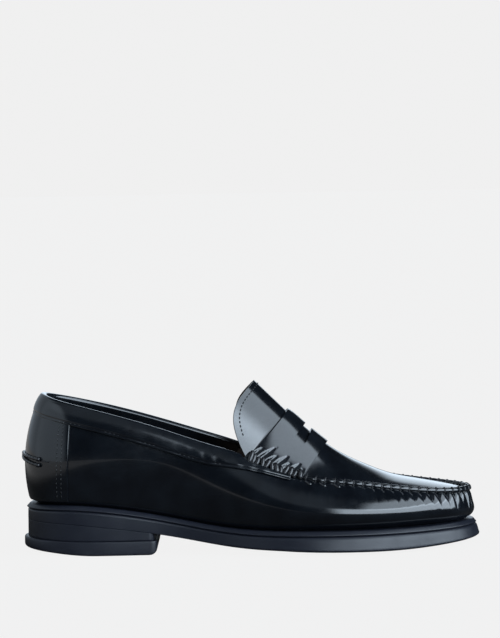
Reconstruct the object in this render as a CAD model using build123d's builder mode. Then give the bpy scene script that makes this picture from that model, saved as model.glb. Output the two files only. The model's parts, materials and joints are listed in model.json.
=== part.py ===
from build123d import *

import os

import numpy as np

"""Black penny loafer for the right foot, built up in the layers a shoemaker lasts one from.

+X runs from heel to toe, +Y to the inner (medial) side and +Z up.  The origin is on the ground in the middle of the
shoe.  Millimetres throughout.

Every upper piece is a patch of one of two surfaces.  wall() runs round the shoe from the lasting margin, over the
feather edge and up to the top edge.  arch() is the saddle that spans the apron seam, over toe and instep.  Each piece
lies between two depths below its surface, so layers meet face to face.
"""

# ---- Driving dimensions, measured from the back of the heel and the ground --------------------------------
LENGTH = 296.0
Y_MID = 1.69                    # brings the middle of the sole's width onto the origin

UPPER = 1.2                     # wall and apron leather
OVERLAY = 1.0                   # heel cover and collar, laid over the wall leather
STRAP = 1.8                     # saddle strap
COUNTER = 0.9                   # heel counter
PUFF = 0.6                      # toe puff
LINING = 0.8
GRIP = 0.6                      # suede heel grip
GLUE = 0.08                     # between layers

BEND = 5.0                      # the upper turns under within this height
TURN = 8.0                      # and within this width
MARGIN = 13.0                   # lasting margin under the insole
TOPLINE_ROLL = 2.75             # outer radius of the collar where it folds over the top edge
COLLAR_WIDTH = 14.5             # depth of the collar band below the top line
COLLAR_TURN_DOWN = 4.5          # inside the shoe
COLLAR_END = 0.288              # its front ends, as a share of the way round
HEEL_COVER_END = 0.085          # front edges of the heel cover, as a share of the way round
THROAT = 0.25                   # where the strap's rear edge meets the wall, as a share of the way round

MIDSOLE = 3.4
INSOLE, INSOLE_INSET = 2.0, 8.5
SOCK, SOCK_INSET = 1.0, 6.5
FILLER_X = (166.0, 276.0)       # cork between the lasting margins
SHANK_X = (40.0, 158.0)
SHANK_WIDTH, SHANK_THICK = 13.0, 1.2

HEEL_BREAST = 89.5              # front of the heel
HEEL_CORNER = 6.0
TOP_PIECE = 9.0                 # rubber top piece under the heel
TOP_PIECE_TOE_RADIUS = 5.0      # rounded lower front edge of the heel
TOP_PIECE_LIFT = 4.8            # its back edge is bevelled off the ground
HEEL_INSET = 1.8                # heel block inside the top piece
SOLE_INSET = 1.6
NAIL_RADIUS = 1.0
NAIL_Z = (1.5, 24.0)

APRON_INSET = 1.9               # apron edge, inside the middle of the rolled seam
SEAM_ROLL = 1.45                # radius of the rolled apron seam
SEAM_PITCH = 6.0                # hand-sewn apron stitches
STITCH_PITCH = 3.2              # machine stitches
LACES = ((0.43, 0.46), (0.49, 0.52))    # lower and upper lace across the back, as heights on the wall
STITCH = (2.2, 0.6, 0.4)        # length, width and height of one machine stitch

# Upper stations round the shoe from the back: feather edge x, y; top edge x, y, z; sideways bulge between them.
STATIONS = [
    (4.3, 0.0, 12.8, 0.0, 101.0, 5.4),
    (11.0, -19.0, 17.5, -14.0, 99.3, 4.6),
    (30.0, -29.6, 33.0, -24.0, 95.2, 3.8),
    (60.0, -31.6, 60.0, -29.0, 88.2, 3.6),
    (91.0, -31.0, 90.0, -31.0, 79.2, 3.4),
    (121.0, -34.6, 118.0, -32.2, 69.8, 3.8),
    (150.0, -42.6, 145.0, -33.2, 61.3, 5.4),
    (178.0, -48.2, 175.0, -34.0, 49.8, 7.4),
    (207.0, -48.0, 205.0, -34.0, 44.8, 8.2),
    (236.0, -41.5, 234.0, -31.0, 40.9, 7.4),
    (262.0, -29.6, 260.0, -24.6, 37.6, 5.0),
    (281.5, -16.0, 279.5, -14.6, 36.1, 2.6),
    (291.3, 3.4, 288.7, 3.4, 35.7, 1.4),
    (284.5, 21.4, 282.0, 18.8, 36.0, 2.4),
    (267.5, 35.4, 264.5, 29.0, 37.3, 4.6),
    (244.0, 43.2, 241.0, 33.2, 40.1, 6.6),
    (215.0, 45.6, 212.0, 35.0, 44.0, 7.6),
    (184.0, 41.6, 180.0, 34.4, 48.6, 7.0),
    (153.0, 33.4, 146.5, 33.2, 61.3, 5.4),
    (122.0, 28.6, 119.0, 32.0, 70.6, 4.2),
    (91.0, 28.4, 90.0, 30.6, 79.8, 3.6),
    (60.0, 30.6, 60.0, 28.8, 88.6, 3.6),
    (30.0, 29.2, 33.0, 24.0, 95.4, 3.8),
    (11.0, 19.0, 17.5, 14.0, 99.3, 4.6),
]

# Overall outline of the sole and heel from the back, lateral side first, with the same count as the upper.
OUTLINE = [
    (0.0, 0.0), (7.4, -20.5), (28.0, -32.6), (60.0, -34.8), (92.0, -34.0), (122.0, -38.0), (151.0, -46.6),
    (180.0, -52.2), (209.0, -51.8), (239.0, -45.0), (266.0, -32.4), (286.2, -17.2), (296.0, 3.5),
    (288.8, 23.6), (271.0, 38.6), (246.5, 46.6), (216.0, 49.4), (185.0, 45.2), (153.5, 36.8), (122.5, 31.8),
    (91.5, 31.6), (60.0, 33.8), (28.0, 32.3), (7.4, 20.5),
]

# Heights along the shoe: the seat that the upper is lasted onto, and the underside of the outsole.
SEAT_Z = [
    (-20, 31.2), (5, 32.0), (30, 32.4), (60, 30.0), (95, 24.0), (130, 17.8), (160, 15.9), (190, 15.7), (224, 15.6),
    (258, 15.6), (320, 16.9),
]
SOLE_Z = [
    (-20, 21.6), (5, 21.4), (30, 20.4), (60, 17.2), (90, 12.9), (115, 8.5), (138, 4.8), (160, 2.1), (185, 0.5),
    (211, 0.03), (237, 0.35), (262, 1.8), (320, 8.6),
]
SOLE_CROWN = 2.3                # the forepart's edges stand this much off the ground

# Saddle over the apron: base x, how far the crest stands forward of the seam, and how far above it.
CREST = [
    (130, 27.6, 29.4), (145, 25.5, 27.0), (162, 20.6, 23.2), (180, 14.8, 19.2), (195, 8.6, 15.8), (207, 4.8, 12.4),
    (220, 2.6, 8.9), (236, 1.4, 5.3), (252, 0.8, 4.0), (266, 0.4, 2.9), (278, 0.1, 1.5), (288, 0.0, 0.0),
]
ARCH_POWER = 2.2
TONGUE_RISE = (-20.4, 20.2)     # the tongue's tip, from the crest of the strap's rear edge
STRAP_END = 0.195               # the strap's front edge, as a share of the apron's length
TONGUE_END = 0.036              # where the tongue meets the apron, under the strap
SLOT_REAR = 0.082               # slot in the strap: straight rear edge, and the front edge's half as (across, along)
SLOT_FRONT = [(0.0, 0.113), (0.2, 0.115), (0.42, 0.123), (0.574, 0.126), (0.65, 0.119), (0.70, 0.107), (0.73, 0.093)]


# ---- Curves through points --------------------------------------------------------------------------------
def closed_spline(points):
    """A smooth closed curve through points, evaluated from 0 to 1."""
    p = np.array(points, float)
    n = len(p)
    links = 4 * np.eye(n) + np.roll(np.eye(n), 1, 0) + np.roll(np.eye(n), -1, 0)
    bend = np.linalg.solve(links, 6 * (np.roll(p, -1, 0) - 2 * p + np.roll(p, 1, 0)))

    def at(s):
        i, f = divmod(s % 1.0 * n, 1)
        i, g = int(i) % n, 1 - f
        j = (i + 1) % n
        return g * p[i] + f * p[j] + ((g**3 - g) * bend[i] + (f**3 - f) * bend[j]) / 6

    return at


def graph(points, column=1):
    """A smooth curve y(x) through rows of points, with y taken from the given column."""
    table = np.array(points, float)
    x, y = table[:, 0], table[:, column]
    n, h = len(x), np.diff(table[:, 0])
    links, pull = np.eye(n), np.zeros(n)
    for i in range(1, n - 1):
        links[i, i - 1 : i + 2] = h[i - 1], 2 * (h[i - 1] + h[i]), h[i]
        pull[i] = 6 * ((y[i + 1] - y[i]) / h[i] - (y[i] - y[i - 1]) / h[i - 1])
    bend = np.linalg.solve(links, pull)

    def at(v):
        i = int(np.clip(np.searchsorted(x, v) - 1, 0, n - 2))
        f = (v - x[i]) / h[i]
        g = 1 - f
        return g * y[i] + f * y[i + 1] + ((g**3 - g) * bend[i] + (f**3 - f) * bend[i + 1]) * h[i] ** 2 / 6

    return at


seat_z, sole_z = graph(SEAT_Z), graph(SOLE_Z)
crest_forward, crest_rise = graph(CREST, 1), graph(CREST, 2)
feather = closed_spline([(a, b) for a, b, *_ in STATIONS])
top_edge = closed_spline([(c, d, e) for _, _, c, d, e, _ in STATIONS])
bulge = closed_spline([(row[5],) for row in STATIONS])
outline = closed_spline(OUTLINE)
UP = np.array([0.0, 0.0, 1.0])


def outward(curve, s):
    """Unit vector pointing away from the shoe, square to a closed curve in plan."""
    step = curve(s + 1e-4) - curve(s - 1e-4)
    return np.array([step[1], -step[0]]) / np.hypot(step[0], step[1])


def place(point):
    """From stations measured from the back of the heel to the shoe's own frame."""
    return np.array([point[0] - LENGTH / 2, point[1] + Y_MID, point[2]])


# ---- The upper's surfaces ---------------------------------------------------------------------------------
def wall(s, t):
    """Outer surface of the wall.  s goes once round the shoe from the back, lateral side first.  t is -1 at the inner
    end of the lasting margin, -0.5 where it starts to turn up, 0 above the feather edge and 1 at the top edge."""
    x, y = feather(s)
    n = np.array([*outward(feather, s), 0.0])
    foot = np.array([x, y, seat_z(x)])
    low, high = foot + BEND * UP, top_edge(s)
    middle = (low + high) / 2 + 2 * bulge(s)[0] * n
    if t >= 0:
        return (1 - t) ** 2 * low + 2 * t * (1 - t) * middle + t * t * high
    lean = middle - low
    corner = low - lean * (BEND / lean[2])
    turn = foot - TURN * n
    turn[2] = seat_z(turn[0])
    if t >= -0.5:
        f = 1 + 2 * t
        return (1 - f) ** 2 * turn + 2 * f * (1 - f) * corner + f * f * low
    end = foot - MARGIN * n
    end[2] = seat_z(end[0])
    return turn + (end - turn) * (-2 * t - 1)


def apron_edge(s):
    """The apron's edge: the top edge, moved inward clear of the rolled seam."""
    return top_edge(s) - APRON_INSET * np.array([*outward(top_edge, s), 0.0])


def arch(u, v):
    """Outer surface of the saddle.  u is 0 at the throat and 1 at the toe, negative up the tongue.  v is -1 on the
    lateral seam and 1 on the medial seam."""
    s = THROAT + (0.5 - THROAT) * max(u, 0.0)
    left, right = apron_edge(s), apron_edge(1 - s)
    middle = (left + right) / 2
    rise = np.array([crest_forward(middle[0]), 0.0, crest_rise(middle[0])])
    point = (left * (1 - v) + right * (1 + v)) / 2 + rise * (1 - abs(v) ** ARCH_POWER)
    if u < 0:
        point = point - u * np.array([TONGUE_RISE[0], 0.0, TONGUE_RISE[1]])
    return point


def arch_across(v, u):
    """The saddle with its two directions swapped, for pieces whose front and rear edges are shaped."""
    return arch(u, -v)


def normal(surface, a, b):
    """Unit normal of a surface, on its outer side."""
    e = 1e-3
    across = np.cross(surface(a + e, b) - surface(a - e, b), surface(a, b + e) - surface(a, b - e))
    return across / np.linalg.norm(across)


def sunk(surface, a, b, depth):
    """A point of a surface moved inward by depth."""
    return surface(a, b) - depth * normal(surface, a, b)


def top_speed(s):
    """Millimetres of wall for one unit of t at the top edge."""
    return np.linalg.norm(wall(s, 1.0) - wall(s, 0.99)) / 0.01


def collar_fold(s, w):
    """Outer surface of the collar.  w runs in millimetres up the outside, over the top edge and down the inside, and
    is 0 where the fold over the edge begins."""
    top, out = wall(s, 1.0), normal(wall, s, 1.0)
    up = wall(s, 1.0) - wall(s, 0.99)
    up = up / np.linalg.norm(up)
    lift, bend = GLUE + OVERLAY, np.pi * TOPLINE_ROLL
    if w < 0:
        return sunk(wall, s, 1 + w / top_speed(s), -lift)
    if w <= bend:
        turn = w / TOPLINE_ROLL
        centre = top + (lift - TOPLINE_ROLL) * out
        return centre + TOPLINE_ROLL * (np.cos(turn) * out + np.sin(turn) * up)
    return sunk(wall, s, 1 - (w - bend) / top_speed(s), 2 * TOPLINE_ROLL - lift)


def ease(x, start, end):
    """Goes smoothly from 0 at start to 1 at end."""
    f = np.clip((x - start) / (end - start), 0, 1)
    return f * f * (3 - 2 * f)


def collar_low(s):
    """The collar's lower edge, which narrows where its two ends run forward under the strap."""
    full = COLLAR_WIDTH - TOPLINE_ROLL
    return -full + (full - 6.0) * ease(abs(s), 0.2, COLLAR_END + 0.01)


def collar_high(s):
    """The collar folds over the top edge as far as the throat, and lies flat in front of it."""
    inside = np.pi * TOPLINE_ROLL + COLLAR_TURN_DOWN
    return inside - (inside + 2.5) * ease(abs(s), 0.195, 0.24)


def collar_seam(s):
    """The collar's lower edge as a height t on the wall."""
    return 1 + collar_low(s) / top_speed(s)


def seam_roll(s, turn):
    """The rolled edge that stands up along the apron seam, turn being the angle round it from its outer side."""
    out = np.array([*outward(top_edge, s), 0.0])
    return top_edge(s) + SEAM_ROLL * (np.cos(turn) * out + np.sin(turn) * UP)


# ---- Solids between two surfaces --------------------------------------------------------------------------
def limits(b_range):
    """Both ends of a range as functions, so that an edge can be straight or shaped."""
    return [end if callable(end) else (lambda a, end=end: end) for end in b_range]


def patch(surface, a_range, b_range, outer, inner, na=40, nb=12):
    """The solid between two depths of a surface."""
    low, high = limits(b_range)
    skins = []
    for depth in (outer, inner):
        rows = []
        for a in np.linspace(*a_range, na + 1):
            across = np.linspace(low(a), high(a), nb + 1)
            rows.append([Vector(*place(sunk(surface, a, b, depth))) for b in across])
        skins.append(rows)
    return closed_solid(*skins)


def slab(bottom, top, x_range=(-12.0, LENGTH + 12.0), nx=40, ny=8):
    """The solid between two heights over the ground, each a function of x and y."""
    skins = []
    for height in (top, bottom):
        skins.append(
            [
                [Vector(*place(np.array([x, y, height(x, y)]))) for y in np.linspace(-70, 70, ny + 1)]
                for x in np.linspace(*x_range, nx + 1)
            ]
        )
    return closed_solid(*skins)


def closed_solid(rows_1, rows_2):
    """Fits a face through each grid of points and joins their four pairs of edges with ruled faces."""
    face_1, face_2 = [Face.make_surface_from_array_of_points(rows, tol=0.02) for rows in (rows_1, rows_2)]
    faces = [face_1, face_2]
    half = len(rows_1) // 2, len(rows_1[0]) // 2
    for i, j in [(0, half[1]), (-1, half[1]), (half[0], 0), (half[0], -1)]:
        edge_1 = face_1.edges().sort_by_distance(rows_1[i][j])[0]
        edge_2 = face_2.edges().sort_by_distance(rows_2[i][j])[0]
        faces.append(Face.make_surface_from_curves(edge_1, edge_2))
    return Solid(Shell(Face.sew_faces(faces)[0]))


def inset_plan(curve, inset, count=72):
    """Points of a closed curve in plan, moved inward."""
    points = []
    for s in np.arange(count) / count:
        x, y = curve(s)[:2] - inset * outward(curve, s)
        points.append((x - LENGTH / 2, y + Y_MID))
    return points


def seam_planes(surface, route, pitch, lift):
    """Planes spaced at pitch along route, which gives the surface's two parameters as it goes from 0 to 1.  Their x
    runs along the seam and their z stands out of the surface, and they lie above it by lift."""
    steps = np.linspace(0, 1, 241)
    points = np.array([sunk(surface, *route(q), -lift) for q in steps])
    run = np.concatenate([[0], np.cumsum(np.linalg.norm(np.diff(points, axis=0), axis=1))])
    count = int(run[-1] // pitch)
    planes = []
    for i in range(count):
        q = np.interp((i + 0.5) / count * run[-1], run, steps)
        here = sunk(surface, *route(q), -lift)
        ahead = sunk(surface, *route(q + 1e-3), -lift) - here
        planes.append(Plane(Vector(*place(here)), x_dir=Vector(*ahead), z_dir=Vector(*normal(surface, *route(q)))))
    return planes


os.makedirs("parts", exist_ok=True)
LINING_DEPTH = UPPER + COUNTER + 3 * GLUE
FLOOR = LINING_DEPTH + LINING + 0.35       # underside of the insole above the seat

# ---- Outer leather ----------------------------------------------------------------------------------------
with BuildPart() as vamp_wall:
    add(patch(wall, (0.002, 0.998), (-1, 1), 0, UPPER, na=84, nb=22))
vamp_wall.part.label = "vamp_wall"
export_step(vamp_wall.part, "parts/vamp_wall.step")

with BuildPart() as heel_cover:
    top = lambda s: collar_seam(s) - 0.006
    add(patch(wall, (-HEEL_COVER_END, HEEL_COVER_END), (-0.1, top), -GLUE - OVERLAY, -GLUE, na=30))
heel_cover.part.label = "heel_cover"
export_step(heel_cover.part, "parts/heel_cover.step")

with BuildPart() as collar:
    add(patch(collar_fold, (-COLLAR_END, COLLAR_END), (collar_low, collar_high), 0, OVERLAY, na=84, nb=30))
collar.part.label = "collar"
export_step(collar.part, "parts/collar.step")

with BuildPart() as apron:
    add(patch(arch, (TONGUE_END, 0.985), (-1, 1), 0, UPPER, nb=24))
apron.part.label = "apron"
export_step(apron.part, "parts/apron.step")

# The tongue's free edge is a squared-off arc.
tongue_edge = lambda v: abs(v) ** (4 * ARCH_POWER) - 1
with BuildPart() as tongue:
    add(patch(arch_across, (-1, 1), (tongue_edge, TONGUE_END - 0.008), 0, UPPER, na=60))
tongue.part.label = "tongue"
export_step(tongue.part, "parts/tongue.step")

slot_front = graph([(-v, u) for v, u in SLOT_FRONT[:0:-1]] + SLOT_FRONT)
slot_end = SLOT_FRONT[-1][0]
with BuildPart() as saddle_strap:
    add(patch(arch_across, (-1, 1), (0, STRAP_END), -2 * GLUE - STRAP, -2 * GLUE, na=60))
    add(patch(arch_across, (-slot_end, slot_end), (SLOT_REAR, slot_front), -6, 3, na=50, nb=6), mode=Mode.SUBTRACT)
saddle_strap.part.label = "saddle_strap"
export_step(saddle_strap.part, "parts/saddle_strap.step")

roll_start = THROAT + (0.5 - THROAT) * STRAP_END + 0.004
with BuildPart() as apron_seam_roll:
    add(patch(seam_roll, (roll_start, 1 - roll_start), (-0.5, np.pi + 0.5), 0, SEAM_ROLL - 0.35, na=60, nb=8))
apron_seam_roll.part.label = "apron_seam_roll"
export_step(apron_seam_roll.part, "parts/apron_seam_roll.step")

# ---- Stiffeners inside the upper --------------------------------------------------------------------------
with BuildPart() as heel_counter:
    arc_top = lambda s: 0.66 - 14 * s * s
    add(patch(wall, (-0.1, 0.1), (-0.1, arc_top), UPPER + GLUE, UPPER + GLUE + COUNTER, na=36))
heel_counter.part.label = "heel_counter"
export_step(heel_counter.part, "parts/heel_counter.step")

with BuildPart() as toe_puff:
    add(patch(wall, (0.42, 0.58), (-0.4, 0.93), UPPER + GLUE, UPPER + GLUE + PUFF, na=36, nb=14))
toe_puff.part.label = "toe_puff"
export_step(toe_puff.part, "parts/toe_puff.step")

with BuildPart() as topline_tape:
    add(patch(wall, (-0.235, 0.235), (0.86, 0.985), UPPER + GLUE, UPPER + GLUE + 0.4, na=60, nb=6))
topline_tape.part.label = "topline_tape"
export_step(topline_tape.part, "parts/topline_tape.step")

# ---- Linings ----------------------------------------------------------------------------------------------
with BuildPart() as quarter_lining_lateral:
    add(patch(wall, (0.003, 0.248), (-1, 0.965), LINING_DEPTH, LINING_DEPTH + LINING, nb=22))
quarter_lining_lateral.part.label = "quarter_lining_lateral"
export_step(quarter_lining_lateral.part, "parts/quarter_lining_lateral.step")

with BuildPart() as quarter_lining_medial:
    add(patch(wall, (0.752, 0.997), (-1, 0.965), LINING_DEPTH, LINING_DEPTH + LINING, nb=22))
quarter_lining_medial.part.label = "quarter_lining_medial"
export_step(quarter_lining_medial.part, "parts/quarter_lining_medial.step")

with BuildPart() as vamp_lining:
    add(patch(wall, (0.25, 0.75), (-1, 0.93), LINING_DEPTH, LINING_DEPTH + LINING, na=60, nb=22))
vamp_lining.part.label = "vamp_lining"
export_step(vamp_lining.part, "parts/vamp_lining.step")

with BuildPart() as apron_lining:
    add(patch(arch, (TONGUE_END, 0.94), (-0.92, 0.92), UPPER + GLUE, UPPER + GLUE + LINING, nb=24))
apron_lining.part.label = "apron_lining"
export_step(apron_lining.part, "parts/apron_lining.step")

with BuildPart() as tongue_lining:
    edge = lambda v: 0.97 * tongue_edge(v / 0.97)
    add(patch(arch_across, (-0.94, 0.94), (edge, TONGUE_END - 0.004), UPPER + GLUE, UPPER + GLUE + LINING, na=60))
tongue_lining.part.label = "tongue_lining"
export_step(tongue_lining.part, "parts/tongue_lining.step")

with BuildPart() as heel_grip:
    depth = LINING_DEPTH + LINING + GLUE
    add(patch(wall, (-0.06, 0.06), (0.03, 0.84), depth, depth + GRIP, na=30))
heel_grip.part.label = "heel_grip"
export_step(heel_grip.part, "parts/heel_grip.step")


# ---- Bottom -----------------------------------------------------------------------------------------------
def above_seat(height):
    """A surface that follows the seat, raised by height."""
    return lambda x, y: seat_z(x) + height


def underside(x, y):
    """Ground side of the outsole: flat along the middle of the forepart and crowned across it."""
    forepart = np.clip((x - 120) / 50, 0, 1)
    return sole_z(x) + SOLE_CROWN * forepart**2 * (3 - 2 * forepart) * (y / 50) ** 2


nails = [(14.0, 0.0), (22.0, -16.0), (22.0, 16.0), (46.0, -20.0), (46.0, 20.0), (76.0, -20.0), (76.0, 20.0)]
nail_places = [place(np.array([x, y, NAIL_Z[0]])) for x, y in nails]
nail_length = NAIL_Z[1] - NAIL_Z[0]


def nail_holes():
    """Cuts the heel nails' holes in the piece being built."""
    with Locations(*[Vector(*p) for p in nail_places]):
        low = (Align.CENTER, Align.CENTER, Align.MIN)
        Cylinder(NAIL_RADIUS + GLUE, nail_length + GLUE, align=low, mode=Mode.SUBTRACT)


with BuildPart() as midsole:
    add(slab(above_seat(-MIDSOLE), above_seat(-GLUE)))
    with BuildSketch():
        with BuildLine():
            Spline(*inset_plan(outline, SOLE_INSET), periodic=True)
        make_face()
    extrude(amount=80, mode=Mode.INTERSECT)
midsole.part.label = "midsole"
export_step(midsole.part, "parts/midsole.step")

with BuildPart() as outsole:
    add(slab(underside, above_seat(-MIDSOLE - GLUE)))
    with BuildSketch(Plane.XY.offset(-5)):
        with BuildLine():
            Spline(*inset_plan(outline, 0), periodic=True)
        make_face()
    extrude(amount=80, mode=Mode.INTERSECT)
    nail_holes()
outsole.part.label = "outsole"
export_step(outsole.part, "parts/outsole.step")


def heel_plan(inset):
    """The heel's outline with a straight breast and rounded front corners."""
    with BuildSketch() as plan:
        with BuildLine():
            Spline(*inset_plan(outline, inset), periodic=True)
        make_face()
        with Locations((HEEL_BREAST - inset - LENGTH / 2, 0)):
            Rectangle(160, 140, align=(Align.MAX, Align.CENTER), mode=Mode.INTERSECT)
        fillet(plan.vertices().group_by(Axis.X)[-1], HEEL_CORNER)
    return plan.sketch


with BuildPart() as heel_block:
    add(slab(lambda x, y: TOP_PIECE + GLUE, lambda x, y: sole_z(x) - GLUE, x_range=(-12.0, 110.0)))
    with BuildSketch():
        add(heel_plan(HEEL_INSET))
    extrude(amount=40, mode=Mode.INTERSECT)
    nail_holes()
heel_block.part.label = "heel_block"
export_step(heel_block.part, "parts/heel_block.step")

with BuildPart() as heel_top_piece:
    with BuildSketch():
        add(heel_plan(0))
    extrude(amount=TOP_PIECE)
    with BuildSketch(Plane.XZ.offset(-100)):
        back = -LENGTH / 2 - 1
        with BuildLine():
            Polyline((back, 0), (back + 48, 0), (back, TOP_PIECE_LIFT), close=True)
        make_face()
    extrude(amount=200, mode=Mode.SUBTRACT)
    fillet(edges().group_by(Axis.Z)[0].group_by(Axis.X)[-1], TOP_PIECE_TOE_RADIUS)
    nail_holes()
heel_top_piece.part.label = "heel_top_piece"
export_step(heel_top_piece.part, "parts/heel_top_piece.step")

with BuildPart() as heel_nails:
    with Locations(*[Vector(*p) for p in nail_places]):
        Cylinder(NAIL_RADIUS, nail_length, align=(Align.CENTER, Align.CENTER, Align.MIN))
heel_nails.part.label = "heel_nails"
export_step(heel_nails.part, "parts/heel_nails.step")

with BuildPart() as shank:
    add(slab(above_seat(0.1), above_seat(0.1 + SHANK_THICK), x_range=SHANK_X))
    with BuildSketch():
        with Locations((sum(SHANK_X) / 2 - LENGTH / 2, 0)):
            SlotOverall(SHANK_X[1] - SHANK_X[0], SHANK_WIDTH)
    extrude(amount=80, mode=Mode.INTERSECT)
shank.part.label = "shank"
export_step(shank.part, "parts/shank.step")

with BuildPart() as cork_filler:
    add(slab(above_seat(GLUE), above_seat(FLOOR - GLUE), x_range=FILLER_X))
    with BuildSketch():
        with BuildLine():
            Spline(*inset_plan(feather, MARGIN + 1.5), periodic=True)
        make_face()
    extrude(amount=80, mode=Mode.INTERSECT)
cork_filler.part.label = "cork_filler"
export_step(cork_filler.part, "parts/cork_filler.step")

PAD_CENTRE, PAD_RADII = (38 - LENGTH / 2, 0.0), (25.0, 17.0)
with BuildPart() as insole_board:
    add(slab(above_seat(FLOOR), above_seat(FLOOR + INSOLE)))
    with BuildSketch():
        with BuildLine():
            Spline(*inset_plan(feather, INSOLE_INSET), periodic=True)
        make_face()
        with Locations(PAD_CENTRE):
            Ellipse(*PAD_RADII, mode=Mode.SUBTRACT)
    extrude(amount=80, mode=Mode.INTERSECT)
insole_board.part.label = "insole_board"
export_step(insole_board.part, "parts/insole_board.step")

with BuildPart() as heel_cushion:
    add(slab(above_seat(FLOOR), above_seat(FLOOR + INSOLE)))
    with BuildSketch():
        with Locations(PAD_CENTRE):
            Ellipse(PAD_RADII[0] - 0.1, PAD_RADII[1] - 0.1)
    extrude(amount=80, mode=Mode.INTERSECT)
heel_cushion.part.label = "heel_cushion"
export_step(heel_cushion.part, "parts/heel_cushion.step")

with BuildPart() as sock_liner:
    add(slab(above_seat(FLOOR + INSOLE + GLUE), above_seat(FLOOR + INSOLE + GLUE + SOCK)))
    with BuildSketch():
        with BuildLine():
            Spline(*inset_plan(feather, SOCK_INSET), periodic=True)
        make_face()
    extrude(amount=80, mode=Mode.INTERSECT)
sock_liner.part.label = "sock_liner"
export_step(sock_liner.part, "parts/sock_liner.step")

# ---- Thread and cord --------------------------------------------------------------------------------------
SKIN = GLUE + OVERLAY + STITCH[2] / 2 + 0.03      # middle of a stitch above the wall, where it lies on an overlay

with BuildPart() as collar_stitching:
    end = COLLAR_END - 0.012
    route = lambda q: (end * (2 * q - 1), collar_seam(end * (2 * q - 1)) + 0.022)
    with Locations(*seam_planes(wall, route, STITCH_PITCH, SKIN)):
        Box(*STITCH)
collar_stitching.part.label = "collar_stitching"
export_step(collar_stitching.part, "parts/collar_stitching.step")

with BuildPart() as heel_cover_stitching:
    for side in (-1, 1):
        for row in (0.007, 0.0125):
            route = lambda q: (side * (HEEL_COVER_END - row), 0.02 + 0.7 * q)
            with Locations(*seam_planes(wall, route, STITCH_PITCH, SKIN)):
                Box(*STITCH)
heel_cover_stitching.part.label = "heel_cover_stitching"
export_step(heel_cover_stitching.part, "parts/heel_cover_stitching.step")

with BuildPart() as tongue_stitching:
    route = lambda q: (1.76 * q - 0.88, 0.88 * tongue_edge((1.76 * q - 0.88) / 0.95))
    with Locations(*seam_planes(arch_across, route, STITCH_PITCH, STITCH[2] / 2 + 0.03)):
        Box(*STITCH)
tongue_stitching.part.label = "tongue_stitching"
export_step(tongue_stitching.part, "parts/tongue_stitching.step")

# Each apron stitch is a loop over the rolled seam.
with BuildPart() as apron_seam_thread:
    route = lambda q: (roll_start + 0.004 + (0.992 - 2 * roll_start) * q, np.pi / 2)
    for plane in seam_planes(seam_roll, route, SEAM_PITCH, 0.35):
        with Locations(plane):
            Box(1.0, 2.4, 0.55)
apron_seam_thread.part.label = "apron_seam_thread"
export_step(apron_seam_thread.part, "parts/apron_seam_thread.step")

# Thick hand stitches that whip the strap's ends down.
for name, side in (("strap_whipstitch_lateral", -1), ("strap_whipstitch_medial", 1)):
    with BuildPart() as whipstitch:
        route = lambda q: (0.02 + 0.16 * q, side * 0.955)
        with Locations(*seam_planes(arch, route, 6.2, GLUE + STRAP + 0.85)):
            Box(2.4, 7.5, 1.5)
    whipstitch.part.label = name
    export_step(whipstitch.part, f"parts/{name}.step")

# Two laced cords across the back, half way up the heel cover.
with BuildPart() as back_tab_cords:
    for low, high in LACES:
        add(patch(wall, (-0.034, 0.034), (low, high), -GLUE - OVERLAY - 2.2, -GLUE - OVERLAY - 0.45, na=20, nb=6))
back_tab_cords.part.label = "back_tab_cords"
export_step(back_tab_cords.part, "parts/back_tab_cords.step")
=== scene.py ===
"""Black high-shine penny loafer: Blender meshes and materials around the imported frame.

Shapes are worked out in millimetres from the back of the heel and the ground, as the CAD's are, and put in
the frame by place().
"""
import json

import bmesh
import bpy
import numpy as np
from mathutils import Matrix, Vector

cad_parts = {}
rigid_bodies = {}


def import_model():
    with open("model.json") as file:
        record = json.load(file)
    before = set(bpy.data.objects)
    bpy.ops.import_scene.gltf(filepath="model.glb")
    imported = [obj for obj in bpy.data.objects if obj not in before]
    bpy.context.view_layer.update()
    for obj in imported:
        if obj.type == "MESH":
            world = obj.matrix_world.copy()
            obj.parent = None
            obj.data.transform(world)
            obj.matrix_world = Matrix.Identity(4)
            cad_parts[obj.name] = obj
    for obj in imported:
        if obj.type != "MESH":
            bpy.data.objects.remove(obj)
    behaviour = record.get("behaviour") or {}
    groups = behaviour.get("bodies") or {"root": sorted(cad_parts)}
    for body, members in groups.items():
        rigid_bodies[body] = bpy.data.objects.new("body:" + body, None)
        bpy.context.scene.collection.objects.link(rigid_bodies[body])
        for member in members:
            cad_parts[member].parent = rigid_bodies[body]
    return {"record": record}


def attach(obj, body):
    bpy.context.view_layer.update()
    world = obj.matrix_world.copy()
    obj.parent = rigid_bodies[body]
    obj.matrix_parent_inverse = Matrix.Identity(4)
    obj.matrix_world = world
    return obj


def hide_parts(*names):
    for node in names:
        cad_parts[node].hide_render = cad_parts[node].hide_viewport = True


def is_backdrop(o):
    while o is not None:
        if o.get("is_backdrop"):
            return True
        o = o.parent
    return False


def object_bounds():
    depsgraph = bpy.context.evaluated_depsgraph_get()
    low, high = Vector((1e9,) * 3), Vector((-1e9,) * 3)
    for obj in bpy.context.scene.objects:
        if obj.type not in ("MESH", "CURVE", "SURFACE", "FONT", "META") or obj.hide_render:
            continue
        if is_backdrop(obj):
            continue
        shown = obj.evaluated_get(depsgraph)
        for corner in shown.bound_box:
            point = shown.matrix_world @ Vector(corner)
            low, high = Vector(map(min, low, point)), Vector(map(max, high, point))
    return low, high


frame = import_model()
cad_low, cad_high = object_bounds()

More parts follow.
